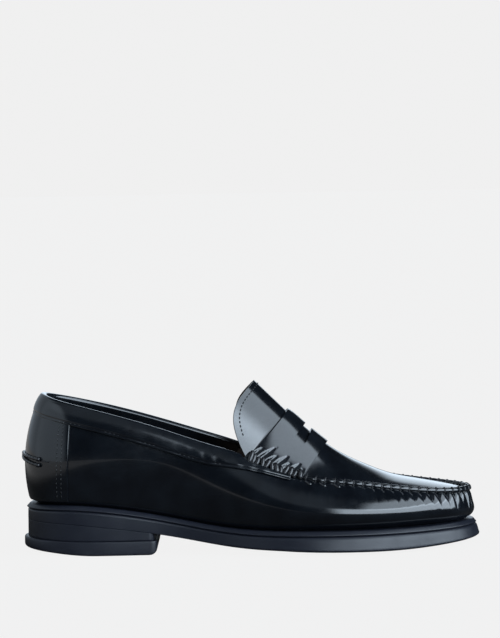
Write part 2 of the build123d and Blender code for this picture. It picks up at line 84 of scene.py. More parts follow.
# ---- Driving values, millimetres and shares of the way round or along ------------------------------------
Y_MID = 1.69                    # the sole's widest points are this far off centre
UPPER, OVERLAY, STRAP, LINING = 1.2, 1.0, 1.8, 0.8
GLUE = 0.08                     # clearance between glued layers
TOP_OF_OVERLAY = GLUE + OVERLAY
LINING_DEPTH = 2.34             # lining below the outer surface
BEND, TURN, MARGIN = 5.0, 8.0, 13.0         # feather edge radius, and the lasting margin under it
ROLL = 2.3                      # outer radius of the collar's fold
COLLAR_WIDTH, COLLAR_INSIDE = 14.5, 9.0
COLLAR_END = 0.288
HEEL_COVER_END = 0.085
THROAT = 0.25                   # where the apron starts on the top edge
PLUG_TIP = 0.985                # the apron's tip is filled out from here
MIDSOLE = 3.4
APRON_INSET = 1.5
SEAM_ROLL = 1.85                # radius of the ridge along the apron seam
SEAM_PITCH = 6.0
STITCH_RADIUS = 0.58
STRAP_END = 0.195               # front edge of the strap, as a share from throat to toe
STRIP_MEET = 0.0875             # the strap's two strips join here, beyond the slot
BREAST, HEEL_CORNER = 89.5, 6.0
TOP_PIECE = 9.0
HEEL_LEDGE_RISE = 1.8           # the joint of heel stack and top piece climbs towards the back by up to this
HEEL_BACK_LIFT = 4.6            # and the top piece's underside leaves the ground there by up to this
SOCK_THICK = 1.05
WHIP_STITCHES = 12
COLLAR_PITCH, FINE_PITCH = 2.9, 2.7         # machine stitches along the collar, and on tongue and heel cover

# Round the shoe from the back: feather edge x, y; top edge x, y, z; sideways bulge between them.
STATIONS = np.array([
    (4.3, 0.0, 12.8, 0.0, 101.0, 5.4), (11.0, -19.0, 17.5, -14.0, 99.3, 4.6),
    (30.0, -29.6, 33.0, -24.0, 95.2, 3.8), (60.0, -31.6, 60.0, -29.0, 88.2, 3.6),
    (91.0, -31.0, 90.0, -31.0, 79.2, 3.4), (121.0, -34.6, 118.0, -32.2, 69.8, 3.8),
    (150.0, -42.6, 145.0, -33.2, 61.3, 5.4), (178.0, -48.2, 175.0, -34.0, 49.8, 7.4),
    (207.0, -48.0, 205.0, -34.0, 44.8, 8.2), (236.0, -41.5, 234.0, -31.0, 40.9, 7.4),
    (262.0, -29.6, 260.0, -24.6, 37.6, 5.0), (281.5, -16.0, 279.5, -14.6, 36.1, 2.6),
    (291.3, 3.4, 288.7, 3.4, 35.7, 1.4), (284.5, 21.4, 282.0, 18.8, 36.0, 2.4),
    (267.5, 35.4, 264.5, 29.0, 37.3, 4.6), (244.0, 43.2, 241.0, 33.2, 40.1, 6.6),
    (215.0, 45.6, 212.0, 35.0, 44.0, 7.6), (184.0, 41.6, 180.0, 34.4, 48.6, 7.0),
    (153.0, 33.4, 146.5, 33.2, 61.3, 5.4), (122.0, 28.6, 119.0, 32.0, 70.6, 4.2),
    (91.0, 28.4, 90.0, 30.6, 79.8, 3.6), (60.0, 30.6, 60.0, 28.8, 88.6, 3.6),
    (30.0, 29.2, 33.0, 24.0, 95.4, 3.8), (11.0, 19.0, 17.5, 14.0, 99.3, 4.6),
])
# Edge of the sole in plan.
OUTLINE = [
    (0.0, 0.0), (7.4, -20.5), (28.0, -32.6), (60.0, -34.8), (92.0, -34.0), (122.0, -38.0), (151.0, -46.6),
    (180.0, -52.2), (209.0, -51.8), (239.0, -45.0), (266.0, -32.4), (286.2, -17.2), (296.0, 3.5),
    (288.8, 23.6), (271.0, 38.6), (246.5, 46.6), (216.0, 49.4), (185.0, 45.2), (153.5, 36.8), (122.5, 31.8),
    (91.5, 31.6), (60.0, 33.8), (28.0, 32.3), (7.4, 20.5),
]
# Heights along the shoe: the seat under the upper, and the underside of the outsole.
SEAT_Z = [(-20, 31.2), (5, 32.0), (30, 32.4), (60, 30.0), (95, 24.0), (130, 17.8), (160, 15.9), (190, 15.7),
          (224, 15.6), (258, 15.6), (320, 16.9)]
SOLE_Z = [(-20, 21.6), (5, 21.4), (30, 20.4), (60, 17.2), (90, 12.9), (115, 8.5), (138, 4.8), (160, 2.1),
          (185, 0.5), (211, 0.03), (237, 0.35), (262, 1.8), (320, 8.6)]
SOLE_CROWN = 2.3
# Crest of tongue and apron: how far it leads the seam, and how high it stands over it, along x.
CREST = [(130, 27.6, 29.4), (145, 25.5, 27.0), (162, 20.6, 23.2), (180, 14.8, 19.2), (195, 8.6, 15.8),
         (207, 4.8, 12.4), (220, 2.6, 8.9), (236, 1.4, 5.3), (252, 0.8, 4.0), (266, 0.4, 2.9),
         (278, 0.1, 1.5), (288, 0.0, 0.0)]
ARCH_POWER = 2.2
TONGUE_RISE = np.array([-20.4, 0.0, 20.2])
SLOT_REAR, SLOT_SIDE = 0.082, 0.73
# Front edge of the slot, as (across, along).
SLOT_FRONT = [(0.0, 0.112), (0.2, 0.115), (0.42, 0.123), (0.574, 0.126), (0.65, 0.119), (0.70, 0.107),
              (0.73, 0.093)]
# Folds that the whip stitches pull in the strap's ends: place along the end, and reach up the strap.
FOLDS = [(0.012, 0.1), (0.04, 0.17), (0.07, 0.08), (0.096, 0.15), (0.124, 0.07), (0.15, 0.12), (0.176, 0.06)]
# Cords across the back: height on the wall at the back and at their ends.
CORDS, CORD_END, CORD_RADIUS = ((0.425, 0.4), (0.395, 0.34)), 0.048, 1.0

UP = np.array([0.0, 0.0, 1.0])
rng = np.random.default_rng(7)

# ---- Studio values, metres and light strengths ------------------------------------------------------------
FLOOR_SEEN, FLOOR_MIRRORED, FLOOR_REACH = 0.866, 0.025, 80.0
LEFT_FLOOR = 0.3                # the paper on the left, as the heel mirrors it
PAPER, ROOM_TINT, ROOM_LEVEL = (0.87, 0.87, 0.87, 1), (0.74, 0.87, 1.0, 1), 0.012
# Large soft sources as the shoe sees them: strength, then for each axis of the direction the value where the
# source starts and the one where it is full.
SOURCES = [
    (3.0, (("X", 0.3, 0.44), ("Z", 0.4, 0.5), ("Z", 0.93, 0.87), ("Y", 0.1, 0.0))),
    (5.0, (("X", 0.03, 0.2), ("Z", 0.0, 0.06), ("Z", 0.58, 0.48), ("Y", 0.1, 0.0))),
    (0.6, (("X", -0.5, -0.62), ("Z", 0.85, 0.7), ("Y", 0.3, 0.0))),
    (0.4, (("X", -0.05, -0.3), ("Y", 0.0, 0.3), ("Z", 0.85, 0.7))),
    (1.6, (("Y", 0.45, 0.8), ("Z", 0.55, 0.42), ("Z", 0.0, 0.07), ("X", -0.3, -0.1), ("X", 0.3, 0.12))),
    (0.2, (("Y", 0.1, -0.4), ("Z", 0.4, 0.6), ("X", 0.3, 0.0))),
]
EYE, PITCH, LEAN, LENS = (0.0002, -1.54539, 0.2337), -3.17, -1.0, 135.1


# ---- Curves and surfaces ----------------------------------------------------------------------------------
def closed_spline(points):
    """A smooth closed curve through points, evaluated from 0 to 1."""
    p = np.array(points, float)
    n = len(p)
    links = 4 * np.eye(n) + np.roll(np.eye(n), 1, 0) + np.roll(np.eye(n), -1, 0)
    bend = np.linalg.solve(links, 6 * (np.roll(p, -1, 0) - 2 * p + np.roll(p, 1, 0)))

    def at(s):
        u = np.asarray(s, float) % 1.0 * n
        i = np.floor(u).astype(int) % n
        f = (u - np.floor(u))[..., None]
        g, j = 1 - f, (i + 1) % n
        return g * p[i] + f * p[j] + ((g**3 - g) * bend[i] + (f**3 - f) * bend[j]) / 6

    return at


def graph(points, column=1):
    """A smooth curve y(x) through rows of points."""
    table = np.array(points, float)
    x, y = table[:, 0], table[:, column]
    n, h = len(x), np.diff(table[:, 0])
    links, pull = np.eye(n), np.zeros(n)
    for i in range(1, n - 1):
        links[i, i - 1:i + 2] = h[i - 1], 2 * (h[i - 1] + h[i]), h[i]
        pull[i] = 6 * ((y[i + 1] - y[i]) / h[i] - (y[i] - y[i - 1]) / h[i - 1])
    bend = np.linalg.solve(links, pull)

    def at(v):
        i = np.clip(np.searchsorted(x, v) - 1, 0, n - 2)
        f = (v - x[i]) / h[i]
        g = 1 - f
        return g * y[i] + f * y[i + 1] + ((g**3 - g) * bend[i] + (f**3 - f) * bend[i + 1]) * h[i] ** 2 / 6

    return at


seat_z, sole_z = graph(SEAT_Z), graph(SOLE_Z)
crest_forward, crest_rise = graph(CREST, 1), graph(CREST, 2)
feather = closed_spline(STATIONS[:, 0:2])
top_edge = closed_spline(STATIONS[:, 2:5])
bulge = closed_spline(STATIONS[:, 5:6])
outline = closed_spline(OUTLINE)


def unit(v):
    return v / np.linalg.norm(v, axis=-1, keepdims=True)


def outward(curve, s):
    """Unit vectors pointing away from the shoe, square to a closed curve in plan."""
    step = curve(s + 1e-4) - curve(s - 1e-4)
    return unit(np.stack([step[..., 1], -step[..., 0], 0 * step[..., 0]], -1))


def ease(x, start, end):
    """Goes smoothly from 0 at start to 1 at end."""
    f = np.clip((x - start) / (end - start), 0, 1)
    return f * f * (3 - 2 * f)


def both_ends(x, start, end, fade):
    """Goes smoothly from 0 at start up to 1, and back to 0 at end."""
    return ease(x, start, start + fade) * (1 - ease(x, end - fade, end))


def on_seat(plan):
    """Points in plan, raised to the seat."""
    return np.concatenate([plan[..., :2], seat_z(plan[..., 0])[..., None]], -1)


def wall(s, t):
    """Outer surface of the wall.  s goes once round the shoe from the back, lateral side first.  t is -1 at
    the inner end of the lasting margin, -0.5 where it starts to turn up, 0 above the feather edge and 1 at the
    top edge."""
    s, t = np.broadcast_arrays(np.asarray(s, float), np.asarray(t, float))
    n = outward(feather, s)
    foot = on_seat(feather(s))
    low, high = foot + BEND * UP, top_edge(s)
    middle = (low + high) / 2 + 2 * bulge(s) * n
    k = t[..., None]
    side = (1 - k) ** 2 * low + 2 * k * (1 - k) * middle + k * k * high
    lean = middle - low
    corner = low - lean * (BEND / lean[..., 2:])
    turn, end = on_seat(foot - TURN * n), on_seat(foot - MARGIN * n)
    f = 1 + 2 * k
    under = (1 - f) ** 2 * turn + 2 * f * (1 - f) * corner + f * f * low
    flat = turn + (end - turn) * (-2 * k - 1)
    return np.where(k >= 0, side, np.where(k >= -0.5, under, flat))


def apron_edge(s):
    return top_edge(s) - APRON_INSET * outward(top_edge, s)


def arch(u, v):
    """Outer surface of the saddle.  u is 0 at the throat and 1 at the toe, negative up the tongue.  v is -1
    on the lateral seam and 1 on the medial seam."""
    u, v = np.broadcast_arrays(np.asarray(u, float), np.asarray(v, float))
    s = THROAT + (0.5 - THROAT) * np.maximum(u, 0.0)
    left, right = apron_edge(s), apron_edge(1 - s)
    x = (left[..., 0] + right[..., 0]) / 2
    rise = np.stack([crest_forward(x), 0 * x, crest_rise(x)], -1)
    k = v[..., None]
    point = (left * (1 - k) + right * (1 + k)) / 2 + rise * (1 - np.abs(k) ** ARCH_POWER)
    return point - np.minimum(u, 0.0)[..., None] * TONGUE_RISE


def arch_across(a, b):
    """The saddle with its rows across it, from the medial side, which keeps the outer side outward."""
    return arch(b, -a)


def normal(surface, a, b):
    """Unit normals of a surface, on its outer side."""
    e = 1e-3
    return unit(np.cross(surface(a + e, b) - surface(a - e, b), surface(a, b + e) - surface(a, b - e)))


def sunk(surface, a, b, depth):
    """Points of a surface moved inward by depth."""
    return surface(a, b) - np.asarray(depth, float)[..., None] * normal(surface, a, b)


def speed(surface, a, b):
    """Millimetres for one unit of b."""
    return np.linalg.norm(surface(a, b + 1e-3) - surface(a, b - 1e-3), axis=-1) / 2e-3


def collar_fold(s, w):
    """Outer surface of the collar.  w runs in millimetres up the outside, over the top edge and down the
    inside, and is 0 where the fold over the edge begins."""
    s, w = np.broadcast_arrays(np.asarray(s, float), np.asarray(w, float))
    top, out = wall(s, 1.0), normal(wall, s, 1.0 + 0 * s)
    up = unit(wall(s, 1.0) - wall(s, 0.99))
    rate = speed(wall, s, 1.0)
    lift, bend = TOP_OF_OVERLAY, np.pi * ROLL
    outside = sunk(wall, s, 1 + np.minimum(w, 0) / rate, -lift + 0 * w)
    turn = (np.clip(w, 0, bend) / ROLL)[..., None]
    over = top + (lift - ROLL) * out + ROLL * (np.cos(turn) * out + np.sin(turn) * up)
    inside = sunk(wall, s, 1 - np.maximum(w - bend, 0) / rate, 2 * ROLL - lift + 0 * w)
    return np.where(w[..., None] < 0, outside, np.where(w[..., None] <= bend, over, inside))


def collar_low(s):
    """The collar's lower edge, as w."""
    full = COLLAR_WIDTH - ROLL
    return -full + (full - 6.0) * ease(np.abs(s), 0.2, COLLAR_END + 0.01)


def collar_high(s):
    """The collar's inner edge, as w, which comes back over the fold at the front ends."""
    inside = np.pi * ROLL + COLLAR_INSIDE
    return inside - (inside + 2.5) * ease(np.abs(s), 0.234, 0.249)


def collar_seam(s):
    """The collar's lower edge as a height t on the wall."""
    return 1 + collar_low(s) / speed(wall, s, 1.0 + 0 * s)


def place(points):
    """From millimetres off the back of the heel to the frame, in metres."""
    points = np.asarray(points, float) / 1000
    return points + np.array([cad_low[0], Y_MID / 1000, cad_low[2]])


# ---- Meshes -----------------------------------------------------------------------------------------------
def piece(name, points, faces, slot, *nodes):
    """A mesh object in the frame, riding on the shoe."""
    mesh = bpy.data.meshes.new(name)
    mesh.from_pydata(place(points).tolist(), [], faces)
    mesh.validate()
    mesh.update()
    mesh.polygons.foreach_set("use_smooth", [True] * len(mesh.polygons))
    body = bpy.data.objects.new(name, mesh)
    bpy.context.scene.collection.objects.link(body)
    mesh.materials.append(MATERIALS[slot])
    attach(body, "root")
    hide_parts(*nodes)
    return body


def grid_faces(rows, columns):
    quads = []
    for i in range(rows - 1):
        for j in range(columns - 1):
            a = i * columns + j
            quads.append((a, a + columns, a + columns + 1, a + 1))
    return quads


def thicken(body, thickness, bevel=0.45):
    """Gives a skin its leather's thickness below the outer face, with rounded edges."""
    solid = body.modifiers.new("thickness", "SOLIDIFY")
    solid.thickness, solid.offset = thickness / 1000, -1.0
    solid.use_even_offset = True
    edge = body.modifiers.new("edge", "BEVEL")
    edge.width, edge.segments, edge.limit_method, edge.angle_limit = bevel / 1000, 3, "ANGLE", 1.0


def mend(body, distance=None):
    """Turns all faces outward, after joining points closer than a distance where one is given."""
    mesh = bmesh.new()
    mesh.from_mesh(body.data)
    if distance:
        bmesh.ops.remove_doubles(mesh, verts=mesh.verts, dist=distance / 1000)
    bmesh.ops.recalc_face_normals(mesh, faces=mesh.faces)
    mesh.to_mesh(body.data)
    mesh.free()


def skin(name, surface, a, b, depth, thickness, slot, *nodes, relief=None, bevel=0.45):
    """A leather piece: a grid of a (rows) and b (rows by columns) on a surface, sunk by depth less relief."""
    a = np.asarray(a, float)[:, None] + 0 * np.asarray(b, float)
    b = b + 0 * a
    level = depth + 0 * a
    if relief is not None:
        level = level - relief(a, b)
    points = sunk(surface, a, b, level)
    body = piece(name, points.reshape(-1, 3), grid_faces(*a.shape), slot, *nodes)
    thicken(body, thickness, bevel)


def span(low, high, count):
    """Columns from low to high for each row, where the ends may be arrays."""
    low, high = np.asarray(low)[..., None], np.asarray(high)[..., None]
    return low + (high - low) * np.linspace(0, 1, count)


def tube(centres, radii, sides=8, up=None):
    """Points and faces of a closed tube along centres, capped flat at both ends."""
    centres, radii = np.asarray(centres, float), np.asarray(radii, float)
    along = unit(np.gradient(centres, axis=0))
    side = unit(np.cross(along, UP if up is None else up))
    top = np.cross(side, along)
    turn = np.linspace(0, 2 * np.pi, sides, endpoint=False)[None, :, None]
    spokes = np.cos(turn) * side[:, None] + np.sin(turn) * top[:, None]
    rings = centres[:, None] + radii[:, None, None] * spokes
    faces = []
    n = len(centres)
    for i in range(n - 1):
        for j in range(sides):
            k = (j + 1) % sides
            faces.append((i * sides + j, i * sides + k, (i + 1) * sides + k, (i + 1) * sides + j))
    faces.append(tuple(range(sides))[::-1])
    faces.append(tuple((n - 1) * sides + j for j in range(sides)))
    return rings.reshape(-1, 3), faces


def gather(shapes):
    """Joins several (points, faces) into one."""
    points, faces, start = [], [], 0
    for p, f in shapes:
        points.append(p)
        faces.extend(tuple(start + i for i in face) for face in f)
        start += len(p)
    return np.concatenate(points), faces


def capsule(start, end, radius, out, sag=0.0, steps=7, sides=8):
    """A short thick thread from start to end, arched away from the surface by sag."""
    f = np.linspace(0, 1, steps)[:, None]
    centres = start + (end - start) * f + out * (sag * 4 * f * (1 - f))
    blunt = np.sqrt(np.clip(1 - (2 * f[:, 0] - 1) ** 6, 0.02, 1))
    return tube(centres, radius * blunt, sides, up=out)


def seam(surface, route, pitch, lift, length, radius):
    """Machine stitches at a pitch along route(q) -> (a, b) on a surface."""
    q = np.linspace(0, 1, 400)
    points = sunk(surface, *route(q), -lift + 0 * q)
    run = np.concatenate([[0], np.cumsum(np.linalg.norm(np.diff(points, axis=0), axis=1))])
    count = int(run[-1] // pitch)
    shapes = []
    for i in range(count):
        here = np.interp((i + 0.5) / count * run[-1], run, q)
        a, b = route(np.array([here, here + 1e-3]))
        ends = sunk(surface, a, b, -lift + 0 * a)
        out = normal(surface, a[:1], b[:1])[0]
        way = unit(ends[1] - ends[0])
        half = way * length / 2
        shapes.append(capsule(ends[0] - half, ends[0] + half, radius, out, sag=0.08, steps=5, sides=6))
    return shapes


# ---- Materials --------------------------------------------------------------------------------------------
def material(name, color, roughness, coat=0.0, coat_roughness=0.03, sheen=0.0, specular=0.5, metallic=0.0):
    """A node material with its principled shader's plain sockets set."""
    mat = bpy.data.materials.new(name)
    mat.use_nodes = True
    shader = mat.node_tree.nodes["Principled BSDF"]
    shader.inputs["Base Color"].default_value = (*color, 1)
    shader.inputs["Roughness"].default_value = roughness
    shader.inputs["Coat Weight"].default_value = coat
    shader.inputs["Coat Roughness"].default_value = coat_roughness
    shader.inputs["Sheen Weight"].default_value = sheen
    shader.inputs["Specular IOR Level"].default_value = specular
    shader.inputs["Metallic"].default_value = metallic
    return mat


def texture(mat, kind, scale, stretch=(1, 1, 1), **values):
    """A procedural texture in object coordinates, with its scale in features per metre."""
    nodes, links = mat.node_tree.nodes, mat.node_tree.links
    where, mapping, tex = nodes.new("ShaderNodeTexCoord"), nodes.new("ShaderNodeMapping"), nodes.new(kind)
    mapping.inputs["Scale"].default_value = stretch
    links.new(where.outputs["Object"], mapping.inputs["Vector"])
    links.new(mapping.outputs["Vector"], tex.inputs["Vector"])
    tex.inputs["Scale"].default_value = scale
    for key, value in values.items():
        tex.inputs[key.replace("_", " ")].default_value = value
    return tex


def ramp(mat, source, socket, stops):
    """Drives a socket of the shader from a texture through colour stops (position, value or colour)."""
    nodes, links = mat.node_tree.nodes, mat.node_tree.links
    band = nodes.new("ShaderNodeValToRGB")
    for element, (position, value) in zip(band.color_ramp.elements, stops):
        color = value if isinstance(value, tuple) else (value, value, value)
        element.position, element.color = position, (*color, 1)
    links.new(source, band.inputs["Fac"])
    links.new(band.outputs["Color"], nodes["Principled BSDF"].inputs[socket])


def bump(mat, layers):
    """Chains bump nodes, each (texture output, depth in millimetres)."""
    nodes, links = mat.node_tree.nodes, mat.node_tree.links
    previous = None
    for source, depth in layers:
        node = nodes.new("ShaderNodeBump")
        node.inputs["Strength"].default_value = 1.0
        node.inputs["Distance"].default_value = depth / 1000
        links.new(source, node.inputs["Height"])
        if previous:
            links.new(previous.outputs["Normal"], node.inputs["Normal"])
        previous = node
    links.new(previous.outputs["Normal"], nodes["Principled BSDF"].inputs["Normal"])


def shine_leather():
    """Black hand-polished calf: deep gloss over a barely visible grain and slow waves in the hide."""
    mat = material("black_shine_leather", (0.004, 0.005, 0.007), 0.2, coat=0.75, coat_roughness=0.04)
    grain = texture(mat, "ShaderNodeTexVoronoi", 1500)
    hide = texture(mat, "ShaderNodeTexNoise", 75, Detail=3.0, Roughness=0.5)
    polish = texture(mat, "ShaderNodeTexNoise", 260, Detail=5.0, Roughness=0.65)
    ramp(mat, polish.outputs["Fac"], "Roughness", [(0.3, 0.12), (0.75, 0.22)])
    tones = [(0.35, (0.003, 0.004, 0.006)), (0.7, (0.006, 0.008, 0.011))]
    ramp(mat, hide.outputs["Fac"], "Base Color", tones)
    bump(mat, [(hide.outputs["Fac"], 0.12), (grain.outputs["Distance"], 0.003)])
    return mat


def lining_leather():
    """Taupe pigskin lining with open pores."""
    mat = material("lining_leather", (0.2, 0.165, 0.14), 0.62, sheen=0.15)
    tone = texture(mat, "ShaderNodeTexNoise", 120, Detail=6.0, Roughness=0.6)
    pores = texture(mat, "ShaderNodeTexVoronoi", 1100)
    ramp(mat, tone.outputs["Fac"], "Base Color", [(0.3, (0.15, 0.122, 0.103)), (0.72, (0.25, 0.207, 0.176))])
    bump(mat, [(tone.outputs["Fac"], 0.15), (pores.outputs["Distance"], 0.06)])
    return mat


def suede():
    """Brushed grip inside the heel."""
    mat = material("suede_grip", (0.13, 0.105, 0.09), 0.92, sheen=0.6)
    nap = texture(mat, "ShaderNodeTexNoise", 900, Detail=8.0, Roughness=0.75)
    cloud = texture(mat, "ShaderNodeTexNoise", 60, Detail=3.0)
    tones = [(0.3, (0.105, 0.085, 0.072)), (0.7, (0.165, 0.135, 0.115))]
    ramp(mat, cloud.outputs["Fac"], "Base Color", tones)
    bump(mat, [(nap.outputs["Fac"], 0.2)])
    return mat


def thread():
    """Waxed black thread with its ply."""
    mat = material("waxed_thread", (0.012, 0.012, 0.014), 0.42, coat=0.2, coat_roughness=0.3)
    ply = texture(mat, "ShaderNodeTexWave", 900, stretch=(1, 1, 1.6), Distortion=2.0, Detail=2.0)
    ramp(mat, ply.outputs["Fac"], "Base Color", [(0.2, (0.008, 0.008, 0.009)), (0.8, (0.022, 0.022, 0.025))])
    bump(mat, [(ply.outputs["Fac"], 0.08)])
    return mat


def lace():
    """Thick waxed leather lace."""
    mat = material("waxed_lace", (0.010, 0.010, 0.012), 0.28, coat=0.5, coat_roughness=0.1)
    crease = texture(mat, "ShaderNodeTexNoise", 700, Detail=4.0, Roughness=0.6)
    ramp(mat, crease.outputs["Fac"], "Roughness", [(0.3, 0.2), (0.7, 0.38)])
    bump(mat, [(crease.outputs["Fac"], 0.12)])
    return mat


def rubber(name, color, low, high, grain):
    """Moulded rubber with a cloudy roughness and fine lighter flecks."""
    mat = material(name, color, (low + high) / 2, specular=0.5)
    cloud = texture(mat, "ShaderNodeTexNoise", 90, Detail=4.0)
    fine = texture(mat, "ShaderNodeTexNoise", 1600, Detail=4.0, Roughness=0.7)
    ramp(mat, cloud.outputs["Fac"], "Roughness", [(0.3, low), (0.7, high)])
    lighter = tuple(1.5 * c for c in color)
    ramp(mat, fine.outputs["Fac"], "Base Color", [(0.3, color), (0.75, lighter)])
    bump(mat, [(fine.outputs["Fac"], grain), (cloud.outputs["Fac"], 0.1)])
    return mat


def steel(name, tone):
    """Brushed steel of the nails and the shank."""
    mat = material(name, (tone, tone, tone), 0.3, metallic=1.0)
    brushed = texture(mat, "ShaderNodeTexNoise", 500, stretch=(0.05, 1, 1), Detail=4.0)
    ramp(mat, brushed.outputs["Fac"], "Roughness", [(0.3, 0.22), (0.7, 0.45)])
    bump(mat, [(brushed.outputs["Fac"], 0.02)])
    return mat


def crumb(name, dark, light, scale, depth, roughness=0.85):
    """Cork, fibre board, foam and woven tape: a speckled matt body."""
    mat = material(name, dark, roughness)
    speck = texture(mat, "ShaderNodeTexVoronoi", scale)
    fleck = texture(mat, "ShaderNodeTexNoise", scale * 1.7, Detail=5.0, Roughness=0.7)
    ramp(mat, fleck.outputs["Fac"], "Base Color", [(0.35, dark), (0.68, light)])
    bump(mat, [(speck.outputs["Distance"], depth)])
    return mat


MATERIALS = {
    "upper_leather": shine_leather(),
    "lining_leather": lining_leather(),
    "suede": suede(),
    "thread": thread(),
    "lace_cord": lace(),
    "sole_rubber": rubber("sole_rubber", (0.0095, 0.011, 0.017), 0.3, 0.42, 0.03),
    "heel_stack": rubber("heel_rubber", (0.0095, 0.011, 0.017), 0.33, 0.46, 0.04),
    "top_piece_rubber": rubber("top_piece_rubber", (0.0098, 0.011, 0.017), 0.36, 0.5, 0.05),
    "nail_steel": steel("nail_steel", 0.5),
    "shank_steel": steel("shank_steel", 0.42),
    "cork": crumb("cork", (0.2, 0.11, 0.05), (0.46, 0.3, 0.17), 500, 0.3),
    "fibre_board": crumb("fibre_board", (0.3, 0.21, 0.13), (0.5, 0.38, 0.26), 900, 0.1),
    "foam": crumb("foam", (0.5, 0.46, 0.38), (0.66, 0.62, 0.54), 1400, 0.15),
    "stiffener": crumb("stiffener", (0.42, 0.37, 0.3), (0.6, 0.55, 0.46), 1200, 0.08),
    "tape": crumb("tape", (0.6, 0.58, 0.52), (0.78, 0.76, 0.7), 1600, 0.1),
}

# CAD nodes that keep their own shape take the finish of their slot.
for row in frame["record"]["subparts"]:
    for slot in bpy.data.objects[row["node"]].material_slots:
        slot.material = MATERIALS[row["material_slot"]]


# ---- Upper ------------------------------------------------------------------------------------------------
# Distance along the top edge, which the hand stitches and the gathers between them follow.
ring = np.linspace(0, 1, 4001)
steps = np.linalg.norm(np.diff(top_edge(ring), axis=0), axis=1)
seam_start = THROAT + (0.5 - THROAT) * STRAP_END - 0.004
arc = np.concatenate([[0], np.cumsum(steps)])
arc -= np.interp(seam_start, ring, arc)
seam_length = np.interp(1 - seam_start, ring, arc)
stitch_count = int(round(seam_length / SEAM_PITCH))
pitch = seam_length / stitch_count
fold_height = rng.uniform(0.55, 1.0, stitch_count + 40)
fold_length = rng.uniform(7.0, 15.0, stitch_count + 40)


def stitch_phase(s):
    """Counts hand stitches along the apron seam from the strap, lateral side first."""
    return np.interp(s % 1.0, ring, arc) / pitch


def gathers(s, t):
    """Puckers that run down the wall from the apron seam, one between each pair of hand stitches, the groove
    that the stitches pull in under the seam, and the fullness of the toe low on the wall."""
    phase = stitch_phase(s)
    below = (1 - t) * np.maximum(speed(wall, s, 1.0 + 0 * s), 1)
    slot = np.clip(np.floor(phase).astype(int), 0, len(fold_height) - 1)
    ridge = np.abs(np.cos(np.pi * (phase - np.floor(phase) - 0.5))) ** 0.8 - 0.55
    along = np.exp(-(below / fold_length[slot]) ** 2)
    toe = both_ends(phase, stitch_count / 2 - 16, stitch_count / 2 + 16, 10)
    strength = (0.36 + 0.54 * toe) * both_ends(phase, -0.5, stitch_count + 0.5, 2)
    groove = -0.35 * np.exp(-((below - 1.2) / 1.6) ** 2) * both_ends(phase, -1, stitch_count + 1, 2)
    slow = 0.3 * np.sin(0.55 * phase + 0.6) * np.exp(-((below - 13) / 9.0) ** 2) * strength
    swell = 1.3 * both_ends(s, 0.27, 0.73, 0.09) * np.exp(-((t - 0.08) / 0.26) ** 2)
    return strength * fold_height[slot] * ridge * along * 1.9 + groove + slow + swell


parts = (0.002, 0.27, 130), (0.2705, 0.7295, 900), (0.73, 0.998, 130)
s = np.concatenate([np.linspace(*part) for part in parts])
t = np.concatenate([np.linspace(-1, -0.5, 4), np.linspace(-0.47, 0, 12), np.linspace(0.02, 1, 70)])
skin("upper_wall", wall, s, t, 0.0, UPPER, "upper_leather", "vamp_wall", relief=gathers)

s = np.linspace(-HEEL_COVER_END, HEEL_COVER_END, 90)
high = collar_seam(s) + 0.02
skin("back_foxing", wall, s, span(-0.12 + 0 * s, high, 60), -TOP_OF_OVERLAY, OVERLAY - 0.1, "upper_leather",
     "heel_cover", bevel=0.35)


def collar_pad(s, w):
    """The collar is lightly padded: it swells between its lower seam and the fold, and gathers near its front
    ends."""
    low = collar_low(s)
    f = np.clip((w - low) / (0 - low), 0, 1.6)
    swell = 0.75 * np.sin(np.pi * np.clip(f, 0, 1)) ** 0.7 * (w < 0)
    groove = -0.28 * np.exp(-((w - low - 1.6) / 0.5) ** 2)
    near = ease(np.abs(s), 0.17, 0.215) * (1 - ease(np.abs(s), 0.262, 0.285))
    pucker = 0.07 * near * np.sin(np.abs(s) * 2 * np.pi / 0.0125) * np.exp(-((f - 0.3) / 0.35) ** 2)
    wave = 0.1 * np.sin(np.abs(s) * 190) * np.exp(-((f - 0.15) / 0.3) ** 2)
    return swell + groove + pucker + wave


s = np.linspace(-COLLAR_END, COLLAR_END, 760)
skin("topline_collar", collar_fold, s, span(collar_low(s), collar_high(s), 64), 0.0, OVERLAY, "upper_leather",
     "collar", relief=collar_pad, bevel=0.35)

# Quarter and vamp linings: one skin round the inside.
s = np.linspace(0.003, 0.997, 240)
skin("quarter_linings", wall, s, np.linspace(-0.95, 0.95, 60), LINING_DEPTH, LINING, "lining_leather",
     "quarter_lining_lateral", "quarter_lining_medial", "vamp_lining", bevel=0.2)


def apron_relief(u, v):
    """The apron dips towards each stitch along its edge."""
    s = THROAT + (0.5 - THROAT) * np.clip(u, 0, 1)
    s = np.where(v > 0, 1 - s, s)
    edge = np.abs(apron_edge(s) - arch(u, v))
    away = np.linalg.norm(edge, axis=-1)
    phase = stitch_phase(s)
    ridge = np.abs(np.cos(np.pi * (phase - np.floor(phase) - 0.5))) - 0.5
    return 0.3 * ridge * np.exp(-(away / 3.2) ** 2) - 0.5 * np.exp(-(away / 1.6) ** 2)


def plug_surface(u, v):
    """The arch, with its tip filled out to the curve of the apron's edge."""
    fill = np.clip((u - PLUG_TIP) / (1 - PLUG_TIP), 0, 1)[..., None]
    edge = apron_edge(0.5 + (0.5 - THROAT) * (1 - PLUG_TIP) * v)
    return (1 - fill) * arch(np.minimum(u, PLUG_TIP), v) + fill * edge


u = 0.02 + (PLUG_TIP - 0.02) * np.sin(np.linspace(0, np.pi / 2, 260)) ** 1.2
u = np.append(u, np.linspace(PLUG_TIP, 0.9995, 6)[1:])
v = 0.998 * np.sin(np.linspace(-np.pi / 2, np.pi / 2, 160))
skin("plug", plug_surface, u, v, 0.0, UPPER, "upper_leather", "apron", relief=apron_relief)


